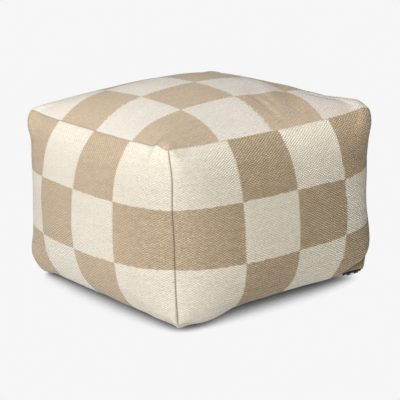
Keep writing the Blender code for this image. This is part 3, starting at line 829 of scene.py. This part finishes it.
def weave_group():
    """Which bump of the weave a place lies in, and how high it stands there."""
    tree, given, result = new_group("flat weave", (("Cloth", "Vector"),), (
        ("Height", "Float"), ("To Middle U", "Float"), ("To Middle V", "Float"),
        ("Yarn", "Float")))
    cloth = given.outputs["Cloth"]
    stray = add_node(tree, "TexNoise", {"Vector": cloth, "Scale": WOBBLE_SCALE, "Detail": 1.0})
    stray = calc(tree, "SUBTRACT", stray.outputs["Color"], (0.5, 0.5, 0.5), kind="VectorMath")
    place = calc(tree, "MULTIPLY_ADD", stray, (WOBBLE, WOBBLE, 0), cloth, kind="VectorMath")
    split = add_node(tree, "SeparateXYZ", {0: place})
    columns = calc(tree, "DIVIDE", split.outputs["X"], BUMP_PITCH)
    rows = calc(tree, "DIVIDE", split.outputs["Y"], ROW_PITCH)
    far_a, u_a, v_a, number_a = bump_grid(tree, columns, rows, 0.0)
    far_b, u_b, v_b, number_b = bump_grid(tree, columns, rows, 0.5)
    second = calc(tree, "GREATER_THAN", far_a, far_b)
    dome = calc(tree, "MULTIPLY", calc(tree, "MINIMUM", far_a, far_b), BUMP_SHARPNESS)
    dome = calc(tree, "MAXIMUM", calc(tree, "SUBTRACT", 1.0, dome), 0.0)
    off_u, off_v = mix(tree, second, u_a, u_b), mix(tree, second, v_a, v_b)
    number = mix(tree, second, number_a, number_b, "VECTOR")
    feed(tree, result, {
        "Height": calc(tree, "SQRT", dome),
        "To Middle U": calc(tree, "MULTIPLY", off_u, -BUMP_PITCH),
        "To Middle V": calc(tree, "MULTIPLY", off_v, -ROW_PITCH),
        "Yarn": add_node(tree, "TexWhiteNoise", {"Vector": number}).outputs["Value"]})
    return tree


weave = weave_group()
print("Weave group:", len(weave.nodes), "nodes")

# %% [markdown]
# ## Cream and beige yarn
#
# The yarn is undyed wool. Its cream is blended with some grey and brown fibres, so it is flecked,
# and the beige holds both lighter and darker hairs. One flat colour per check would look printed.
# The colour therefore comes in layers: the check's own colour, a slow drift from one length of
# yarn to the next, a little difference between bumps, painted shade in the pits between bumps,
# and short flecks along the weft. Where the cover is worn, the bumps are flatter. On the top, the
# left wall and at the near corner, painted light and shade bring the two colours closer together.

# %% Which yarn shows
CHECKS_A_METRE = 1 / CHECK


def beige_share(tree, woven, checks):
    """1 where the middle of the bump lies in a beige check, or else 0."""
    count = add_node(tree, "SeparateXYZ", {0: checks}).outputs
    across, up = (
        calc(tree, "FLOOR", calc(tree, "MULTIPLY_ADD", woven[step], CHECKS_A_METRE, count[axis]))
        for axis, step in (("X", "To Middle U"), ("Y", "To Middle V")))
    odd = calc(tree, "FLOORED_MODULO", calc(tree, "ADD", across, up), 2.0)
    on_checks = calc(tree, "GREATER_THAN", count["Y"], BASE_ROW / 2)
    return calc(tree, "MULTIPLY", calc(tree, "SUBTRACT", 1.0, odd), on_checks)


print("Checks a metre:", CHECKS_A_METRE)

# %% How light the yarn is
DRIFT_STRETCH = (9.0, 160.0, 1.0)       # of its noise, along and across the weft
DRIFT_STRENGTH = 0.14
SPECK_STRETCH = (380.0, 500.0, 1.0)
SPECK_STRENGTH = 1.3
YARN_DIFFERENCE = 0.14            # between bumps
PIT_SHADE = 0.48                 # painted shade: how much darker a bump's rim, in the pits between bumps, is than its middle
MEAN_TONE = 0.32                  # what these come to on average
CREAM_CONTRAST = 0.85             # how much all this stands out in each yarn
BEIGE_CONTRAST = 1.8
WORN_CONTRAST = 0.30              # share of it where no relief is left
RELIEF_CONTRAST = 0.75            # and what full relief adds


def yarn_tone(tree, cloth, woven, beige, relief):
    """Factor on the yarn's colour, with painted shade in the pits between the bumps."""
    drift = spread_noise(tree, cloth, DRIFT_STRETCH, detail=3.0)
    drift = calc(tree, "MULTIPLY_ADD", drift, DRIFT_STRENGTH, 1 - DRIFT_STRENGTH)
    speck = spread_noise(tree, cloth, SPECK_STRETCH, roughness=0.7)
    speck = calc(tree, "MULTIPLY", calc(tree, "SUBTRACT", speck, 0.5), SPECK_STRENGTH)
    tone = calc(tree, "MULTIPLY_ADD", woven["Yarn"], YARN_DIFFERENCE, speck)
    # Painted shade in the pits: a bump's rim is darker than its middle.
    tone = calc(tree, "MULTIPLY_ADD", woven["Height"], PIT_SHADE, tone)
    contrast = calc(tree, "MULTIPLY_ADD", beige, BEIGE_CONTRAST - CREAM_CONTRAST, CREAM_CONTRAST)
    kept = calc(tree, "MULTIPLY_ADD", relief, RELIEF_CONTRAST, WORN_CONTRAST)
    contrast = calc(tree, "MULTIPLY", contrast, kept)
    return calc(tree, "MULTIPLY_ADD", calc(tree, "SUBTRACT", tone, MEAN_TONE), contrast, drift)


print("Contrast:", CREAM_CONTRAST, "in cream,", BEIGE_CONTRAST, "in beige")

# %% Wool material
CREAM = (0.810, 0.754, 0.620, 1)
# The cream painted darker and the beige painted lighter, mixed in as painted shade and light where
# little of the own colours is kept.
CREAM_PAINTED_DARKER = (0.670, 0.626, 0.565, 1)
CREAM_FLECK = (0.36, 0.31, 0.25, 1)
BEIGE = (0.424, 0.325, 0.203, 1)
BEIGE_PAINTED_LIGHTER = (0.492, 0.391, 0.2815, 1)
BEIGE_FLECK = (0.72, 0.62, 0.48, 1)
# Colour of all painted shade: the seams' dark lines, partly their thread, the painted shadow in the
# tuck and the painted spots on the top.
SEAM_SHADE = (0.10, 0.062, 0.032, 1)
SHADE_STRENGTH = 0.85
FLECK_STRETCH = (150.0, 520.0, 1.0)
FLECK_RANGE = (0.56, 0.74)        # values of its noise where a fleck starts and where it is full
FLECK_STRENGTH = 0.55
BLUE_TONE = 1.25                  # blue follows the tone more, so what is darker, the painted shade in the pits too, is also warmer
FIBRE_STRETCH = (1400.0, 3200.0, 1.0)
FIBRE_HEIGHT = 0.35               # in bump heights
BUMP_HEIGHT = 0.0037


def wool_material():
    material, tree, shader = new_material("flat-woven wool")
    cloth, checks = (add_node(tree, "UVMap", {}, uv_map=name).outputs[0]
                     for name in ("cloth", "checks"))
    shaded, own_colour_and_relief, relief = (add_node(tree, "Attribute", {}, attribute_name=name).outputs["Fac"]
                             for name in ("seam", "own_colour_and_relief", "relief"))
    woven = add_node(tree, "Group", {}, node_tree=weave)
    feed(tree, woven, {"Cloth": cloth})
    woven = woven.outputs
    beige = beige_share(tree, woven, checks)
    fleck = spread_noise(tree, cloth, FLECK_STRETCH, roughness=0.6)
    low, high = FLECK_RANGE
    fleck = add_node(tree, "MapRange", {"Value": fleck, "From Min": low, "From Max": high})
    fleck = calc(tree, "MULTIPLY", fleck.outputs["Result"], FLECK_STRENGTH)
    # Painted light and shade: where little of the own colours is kept, the cream is darker and the
    # beige lighter.
    cream = mix_colour(tree, own_colour_and_relief, CREAM_PAINTED_DARKER, CREAM)
    brown = mix_colour(tree, own_colour_and_relief, BEIGE_PAINTED_LIGHTER, BEIGE)
    cream = mix_colour(tree, fleck, cream, CREAM_FLECK)
    brown = mix_colour(tree, fleck, brown, BEIGE_FLECK)
    colour = mix_colour(tree, beige, cream, brown)
    tone = yarn_tone(tree, cloth, woven, beige, relief)
    blue = calc(tree, "MULTIPLY_ADD", tone, BLUE_TONE, 1 - BLUE_TONE)
    toned = add_node(tree, "CombineColor", {"Red": tone, "Green": tone, "Blue": blue}).outputs[0]
    colour = mix_colour(tree, 1.0, colour, toned, blend_type="MULTIPLY")
    shaded = calc(tree, "MULTIPLY", shaded, SHADE_STRENGTH)
    fibre = spread_noise(tree, cloth, FIBRE_STRETCH, detail=3.0)
    height = calc(tree, "MULTIPLY_ADD", fibre, FIBRE_HEIGHT, woven["Height"])
    height = calc(tree, "MULTIPLY", height, relief)
    bump = add_node(tree, "Bump", {"Strength": 1.0, "Distance": BUMP_HEIGHT, "Height": height})
    feed(tree, shader, {
        "Base Color": mix_colour(tree, shaded, colour, SEAM_SHADE),
        "Roughness": 0.95, "Specular IOR Level": 0.15, "Sheen Weight": 0.08,
        "Sheen Roughness": 0.5, "Normal": bump.outputs[0]})
    return material


wool = wool_material()
cover.data.materials.append(wool)
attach(cover, "root")
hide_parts("pouf_body")
print("Wool:", len(wool.node_tree.nodes), "nodes")

# %% [markdown]
# ## The end of the zip
#
# Under the front edge, at the right corner, the end of the cover's zip shows: a dark tape, two rows
# of teeth that lock into each other, a crimped stop, and a slider with its pull. One tooth is
# modelled and copied along the tape, every second one turned round, because that is how a zip
# closes. The pieces are made flat at the origin, where they are easy to measure, and laid on the
# seat afterwards.

# %% Zip helpers
SHARP_ANGLE = math.radians(40)    # a steeper edge stays sharp


def box_piece(name, low, high, rounding):
    """A box between two corners, with rounded edges."""
    low, high = Vector(low), Vector(high)
    bpy.ops.mesh.primitive_cube_add(size=1, location=(low + high) / 2, scale=high - low)
    piece = bpy.context.object
    piece.name = name
    bpy.ops.object.transform_apply()
    bevel = piece.modifiers.new("rounded", "BEVEL")
    bevel.width = rounding
    bevel.segments = 2
    bpy.ops.object.modifier_apply(modifier=bevel.name)
    return piece


def ring_piece(name, radius, wire, stretch, flatness):
    """A ring in the XY plane, drawn out along X, with a flattened wire."""
    bpy.ops.mesh.primitive_torus_add(major_radius=radius, minor_radius=wire,
                                     major_segments=32, minor_segments=10)
    piece = bpy.context.object
    piece.name = name
    points = read_points(piece.data)
    points[:, 0] += np.where(points[:, 0] > 1e-6, stretch / 2, -stretch / 2)
    points[:, 2] *= flatness
    write_points(piece.data, points)
    return piece


def moved_to(piece, x, z, turn=0, axis="X"):
    """Turn a piece's mesh round its origin, then move it along the tape and up."""
    piece.data.transform(Matrix.Translation((x, 0, z)) @ Matrix.Rotation(turn, 4, axis))
    return piece


def join_pieces(pieces, name):
    select_only(*pieces)
    bpy.ops.object.join()
    pieces[0].name = name
    return pieces[0]


def lay_on_seat(piece, node, material):
    """Finish a piece of the zip: lay it on its seat, give it its material and hide the imported
    part in its place.
    """
    select_only(piece)
    piece.data.transform(SEAT)
    bpy.ops.object.shade_smooth_by_angle(angle=SHARP_ANGLE)
    piece.data.materials.clear()
    piece.data.materials.append(material)
    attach(piece, "root")
    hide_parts(node)
    print(piece.name, len(piece.data.polygons), "faces")


print("Zip sizes:", CHAIN_LENGTH, "long,", TAPE_WIDTH, "wide")

# %% Zip materials
GRAIN_ROUGHNESS = 0.2             # what the grain adds at most


def grain_group():
    """A fine grain: relief, and how much rougher the surface is there."""
    tree, given, result = new_group("fine grain", (("Place", "Vector"), ("Scale", "Float")),
                                    (("Height", "Float"), ("Roughness", "Float")))
    grain = add_node(tree, "TexNoise", {
        "Vector": given.outputs["Place"], "Scale": given.outputs["Scale"], "Detail": 3.0})
    height = grain.outputs["Fac"]
    rougher = calc(tree, "MULTIPLY", height, GRAIN_ROUGHNESS)
    feed(tree, result, {"Height": height, "Roughness": rougher})
    return tree


def dark_material(name, colour, metallic, roughness, grain_scale, grain_depth):
    material, tree, shader = new_material(name)
    grain = add_node(tree, "Group", {}, node_tree=grained)
    place = add_node(tree, "TexCoord", {}).outputs["Object"]
    feed(tree, grain, {"Place": place, "Scale": grain_scale})
    height = grain.outputs["Height"]
    bump = add_node(tree, "Bump", {"Distance": grain_depth, "Height": height})
    feed(tree, shader, {
        "Base Color": colour, "Metallic": metallic, "Normal": bump.outputs[0],
        "Roughness": calc(tree, "ADD", grain.outputs["Roughness"], roughness)})
    return material


grained = grain_group()
tape_cloth = dark_material("zip tape", (0.022, 0.021, 0.020, 1), metallic=0.0, roughness=0.75,
                           grain_scale=1800.0, grain_depth=0.0004)
dark_metal = dark_material("burnished metal", (0.055, 0.050, 0.045, 1), metallic=0.8,
                           roughness=0.30, grain_scale=900.0, grain_depth=0.0001)
print("Zip materials:", tape_cloth.name, "and", dark_metal.name)

# %% Tape, teeth and stop
TOOTH_PITCH = 0.0022              # between two teeth of the same side
TOOTH_SIZE = Vector((0.0010, 0.0030, 0.0013))
TOOTH_STEP = 0.0006               # how far each tooth stands to its own side
TEETH_FOOT = TAPE_THICKNESS - 0.0001
STOP_LOW = (0.0003, -0.0025, TAPE_THICKNESS)
STOP_HIGH = (0.0033, 0.0025, 0.0031)
TEETH_START = 0.0045              # where along the tape the first tooth sits
TEETH_COUNT = 39

tape = box_piece("zip_tape", (0, -TAPE_WIDTH / 2, 0),
                 (CHAIN_SHOWN, TAPE_WIDTH / 2, TAPE_THICKNESS), rounding=0.0002)
lay_on_seat(tape, "zip_chain", tape_cloth)

tooth_low = Vector((-TOOTH_SIZE.x / 2, -TOOTH_SIZE.y / 2 - TOOTH_STEP, TEETH_FOOT))
first_tooth = box_piece("tooth", tooth_low, tooth_low + TOOTH_SIZE, rounding=0.0003)
teeth = []
for index in range(TEETH_COUNT):
    tooth = first_tooth.copy()
    tooth.data = first_tooth.data.copy()
    bpy.context.scene.collection.objects.link(tooth)
    place = TEETH_START + index * TOOTH_PITCH / 2
    teeth.append(moved_to(tooth, place, 0, math.pi * (index % 2), "Z"))
bpy.data.objects.remove(first_tooth)
lay_on_seat(join_pieces(teeth, "zip_teeth"), "zip_chain", dark_metal)

stop = box_piece("zip_end_stop", STOP_LOW, STOP_HIGH, rounding=0.0006)
lay_on_seat(stop, "zip_stop", dark_metal)

# %% Slider
SLIDER_START = 0.00725            # its ends along the tape
SLIDER_END = 0.01775
SLIDER_MIDDLE = (SLIDER_START + SLIDER_END) / 2
SLIDER_HALF = 0.0040              # half its width
SIDE_INNER = 0.00248              # from the middle to the inside of a side
SIDE_FOOT = TAPE_THICKNESS + 0.0003
SIDE_TOP = 0.0031                 # reaches into the plate
PLATE_FOOT = 0.0027
PLATE_TOP = 0.0038
BRIDGE_RADIUS = 0.0018
BRIDGE_WIRE = 0.0006
BRIDGE_STRETCH = 0.0016
BRIDGE_FLATNESS = 1.3             # above 1 the wire is drawn out across the ring
BRIDGE_LEVEL = PLATE_TOP + 0.0002

plate = box_piece("plate", (SLIDER_START, -SLIDER_HALF, PLATE_FOOT),
                  (SLIDER_END, SLIDER_HALF, PLATE_TOP), rounding=0.0005)
sides = [box_piece("side", (SLIDER_START, low, SIDE_FOOT), (SLIDER_END, high, SIDE_TOP),
                   rounding=0.0004)
         for low, high in ((-SLIDER_HALF, -SIDE_INNER), (SIDE_INNER, SLIDER_HALF))]
bridge = ring_piece("bridge", BRIDGE_RADIUS, BRIDGE_WIRE, BRIDGE_STRETCH, BRIDGE_FLATNESS)
moved_to(bridge, SLIDER_MIDDLE, BRIDGE_LEVEL, math.pi / 2)
slider = join_pieces([plate, *sides, bridge], "zip_slide")
lay_on_seat(slider, "zip_slider", dark_metal)

# %% Pull
PULL_START = 0.0004               # these four run along the tape from the slider's middle
LOOP_END = PULL_START + 0.0196
TAB_START = LOOP_END - 0.0014
TAB_END = PULL_START + 0.0270
PULL_HALF = 0.0035                # half its width
PULL_WIRE = 0.00065
PULL_STRETCH = 0.0126             # how far the loop is drawn out
LOOP_FLATNESS = 0.8
TAB_HALF = 0.0005                 # half the tab's thickness
PULL_LEVEL = PLATE_TOP + 0.0008

loop = ring_piece("loop", PULL_HALF - PULL_WIRE, PULL_WIRE, PULL_STRETCH, LOOP_FLATNESS)
moved_to(loop, (PULL_START + LOOP_END) / 2, 0)
tab = box_piece("tab", (TAB_START, -PULL_HALF, -TAB_HALF), (TAB_END, PULL_HALF, TAB_HALF),
                rounding=0.0004)
pull = moved_to(join_pieces([loop, tab], "zip_tab"), SLIDER_MIDDLE, PULL_LEVEL)
lay_on_seat(pull, "zip_pull", dark_metal)

# %% [markdown]
# ## Floor and light
#
# The studio is plain: a wide pale floor that glows evenly, as a lit sweep does once it is exposed
# to near white, and soft lamps. Most light comes from the left and above, so the front wall lies in
# half shade and its weave is raked. A weak, warm lamp fills the front. A cool lamp behind and a
# cool softbox overhead lift the top. The floor reflects no light: a painted shadow in its glow
# keeps only the shade right round the pouf's foot, darker where the pouf hides much of the space
# above it.

# %% Floor
FLOOR_GLOW = 0.9216               # what the camera sees as 246 of 255
FLOOR_SIZE = 60
FLOOR_LEVEL = -0.0005
FOOT_SHADE_REACH = 0.25
OPEN_FLOOR = 0.38                 # share of open space above a place from which the painted shadow is gone


def make_floor():
    bpy.ops.mesh.primitive_plane_add(size=FLOOR_SIZE, location=(0, 0, FLOOR_LEVEL))
    floor = bpy.context.object
    floor.name = "studio_floor"
    material, tree, shader = new_material("pale floor")
    # The floor's glow is darkened by how much the pouf hides above it: a painted shadow.
    openness = add_node(tree, "AmbientOcclusion", {"Distance": FOOT_SHADE_REACH}, samples=16)
    shade = add_node(tree, "MapRange", {"Value": openness.outputs["AO"], "From Max": OPEN_FLOOR},
                     interpolation_type="SMOOTHSTEP")
    feed(tree, shader, {
        "Base Color": (0, 0, 0, 1), "Roughness": 1.0, "Specular IOR Level": 0.0,
        "Emission Color": shade.outputs["Result"], "Emission Strength": FLOOR_GLOW})
    floor.data.materials.append(material)
    return floor


floor = make_floor()
print("Floor:", floor.name)

# %% Light
LAMPS = (                         # where it shines from, how bright it is, and its colour
    ("high left", (-1.0, -0.6, 1.0), 1.70, (1.01, 0.995, 0.985)),
    ("low left", (-1.0, -0.70, 0.5), 2.38, (1.01, 0.995, 0.985)),
    ("front fill", (-0.7, -1.0, 0.3), 0.13, (1.0, 0.86, 0.62)),
    ("back", (0.0, 1.0, 1.0), 0.35, (0.95, 1.0, 1.08)),
)
LAMP_ANGLE = math.radians(50)
SOFTBOX_PLACE = (-0.2, -0.1, 1.3)
SOFTBOX_SIZE = 0.6
SOFTBOX_POWER = 3.2               # in watts
SOFTBOX_COLOUR = (0.97, 1.0, 1.04)


def add_light(name, kind, energy, colour):
    light = bpy.data.lights.new(name, kind)
    light.energy = energy
    light.color = colour
    lamp = bpy.data.objects.new(name, light)
    bpy.context.scene.collection.objects.link(lamp)
    return lamp


def make_lights():
    world = bpy.data.worlds.new("studio")
    world.use_nodes = True
    world.node_tree.nodes["Background"].inputs["Strength"].default_value = 0.0
    bpy.context.scene.world = world
    for name, shines_from, energy, colour in LAMPS:
        lamp = add_light(name, "SUN", energy, colour)
        lamp.data.angle = LAMP_ANGLE
        lamp.rotation_euler = Vector(shines_from).to_track_quat("Z", "Y").to_euler()
    softbox = add_light("softbox", "AREA", SOFTBOX_POWER, SOFTBOX_COLOUR)
    softbox.data.shape = "DISK"
    softbox.data.size = SOFTBOX_SIZE
    softbox.location = SOFTBOX_PLACE
    bpy.context.scene.view_settings.view_transform = "Standard"


make_lights()
print("Lamps:", len(LAMPS) + 1)
